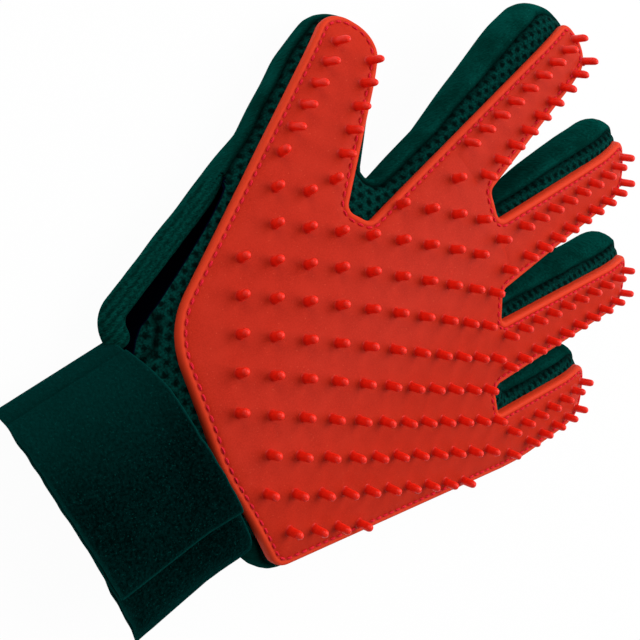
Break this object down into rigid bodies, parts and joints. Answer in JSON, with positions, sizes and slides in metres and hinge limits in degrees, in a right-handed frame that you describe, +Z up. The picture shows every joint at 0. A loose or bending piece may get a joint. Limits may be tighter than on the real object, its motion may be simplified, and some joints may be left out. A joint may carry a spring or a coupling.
{
  "type": "pet grooming glove",
  "caption": "Left-hand five-finger pet grooming glove: soft rubber pad with moulded nubs sewn on a mesh and velvet glove, closed by a hook-and-loop wrist strap.",
  "frame": {"origin": "on the ground under the middle of the glove's box, as it lies on its back", "axes": "+X towards the fingers, +Y towards the thumb, +Z up, out of the palm side"},
  "size_m": [0.2298, 0.1588, 0.0449],
  "materials": {
    "pad": "satin red silicone rubber",
    "mesh": "dark green open air mesh",
    "back": "dark green velvet",
    "strap": "black-green loop pile",
    "hook": "moulded hook tape",
    "binding": "rolled velvet hem"
  },
  "bodies": {
    "palm": {"palm_outer_pad": "pad", "palm_outer_mesh": "mesh", "palm_outer_back": "back", "palm_middle_pad": "pad", "palm_middle_mesh": "mesh", "palm_middle_back": "back", "palm_inner_pad": "pad", "palm_inner_mesh": "mesh", "palm_inner_back": "back", "wrist_band": "strap", "vent_binding": "binding"},
    "little": {"little_pad": "pad", "little_mesh": "mesh", "little_back": "back"},
    "ring": {"ring_pad": "pad", "ring_mesh": "mesh", "ring_back": "back"},
    "middle": {"middle_pad": "pad", "middle_mesh": "mesh", "middle_back": "back"},
    "index": {"index_pad": "pad", "index_mesh": "mesh", "index_back": "back"},
    "thumb": {"thumb_pad": "pad", "thumb_mesh": "mesh", "thumb_back": "back"},
    "strap": {"strap_flap": "strap", "strap_hook": "hook"}
  },
  "joints": [
    {"name": "little_knuckle", "type": "hinge", "parent": "palm", "child": "little", "pos_m": [0.04001, -0.06657, 0.02448], "axis": [-0.091, -0.9705, -0.2234], "range_deg": [0, 60]},
    {"name": "ring_knuckle", "type": "hinge", "parent": "palm", "child": "ring", "pos_m": [0.03985, -0.03482, 0.03188], "axis": [-0.0615, -0.9725, -0.2247], "range_deg": [0, 60]},
    {"name": "middle_knuckle", "type": "hinge", "parent": "palm", "child": "middle", "pos_m": [0.04055, -0.00252, 0.0383], "axis": [0.1055, -0.9853, -0.134], "range_deg": [0, 60]},
    {"name": "index_knuckle", "type": "hinge", "parent": "palm", "child": "index", "pos_m": [0.03325, 0.0279, 0.03717], "axis": [0.3422, -0.9164, 0.2075], "range_deg": [0, 60]},
    {"name": "thumb_knuckle", "type": "hinge", "parent": "palm", "child": "thumb", "pos_m": [-0.01414, 0.04618, 0.02563], "axis": [0.6609, -0.6884, 0.299], "range_deg": [0, 50]},
    {"name": "strap_hinge", "type": "hinge", "parent": "palm", "child": "strap", "pos_m": [-0.09826, 0.01421, 0.01904], "axis": [-0.9774, -0.1566, -0.1416], "range_deg": [0, 150]}
  ]
}
